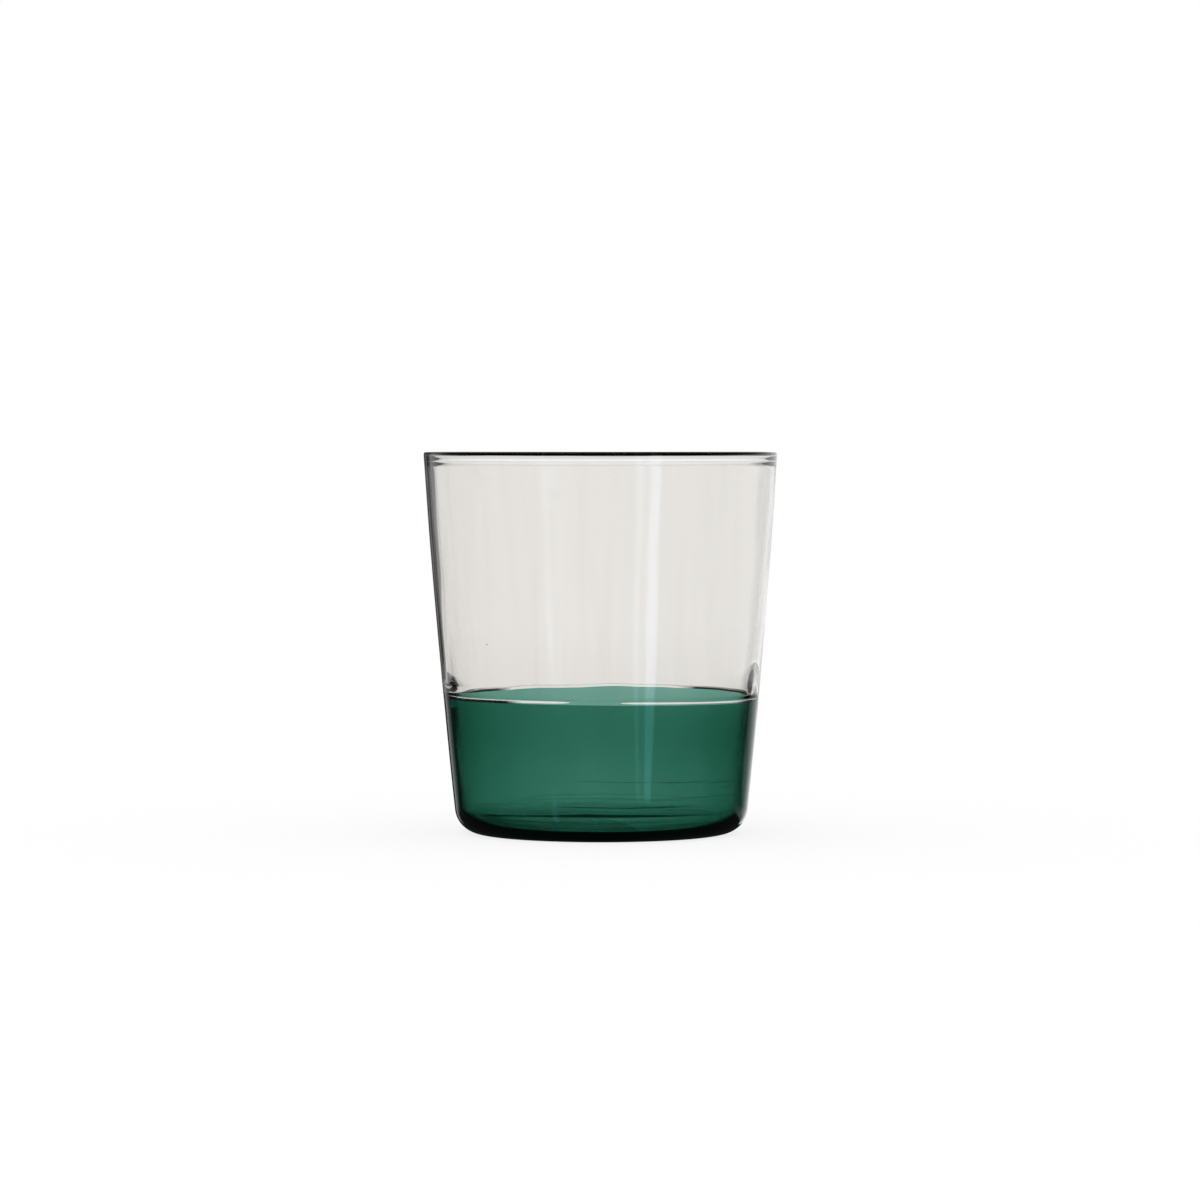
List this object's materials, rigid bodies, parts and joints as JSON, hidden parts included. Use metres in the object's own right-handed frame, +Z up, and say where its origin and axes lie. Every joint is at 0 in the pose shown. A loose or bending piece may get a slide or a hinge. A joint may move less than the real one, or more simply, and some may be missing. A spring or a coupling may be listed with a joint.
{
  "type": "drinking glass",
  "caption": "Flared thin-walled glass tumbler with a smoke-grey upper wall joined through a clear weld ring to a green lower cup with a flat base and rounded heel.",
  "frame": {"origin": "centre of the underside that the glass stands on", "axes": "+Z up along the axis of the glass, towards the rim; the glass is round, so X and Y are any two level directions"},
  "size_m": [0.088, 0.088, 0.095],
  "materials": {
    "green_glass": "smooth blown glass, transparent deep green",
    "clear_glass": "smooth blown glass, colourless",
    "smoke_glass": "smooth blown glass, pale smoke grey, fire-polished rim"
  },
  "bodies": {
    "root": {"green_lower_cup": "green_glass", "clear_weld_ring": "clear_glass", "smoke_upper_wall": "smoke_glass"}
  },
  "joints": []
}
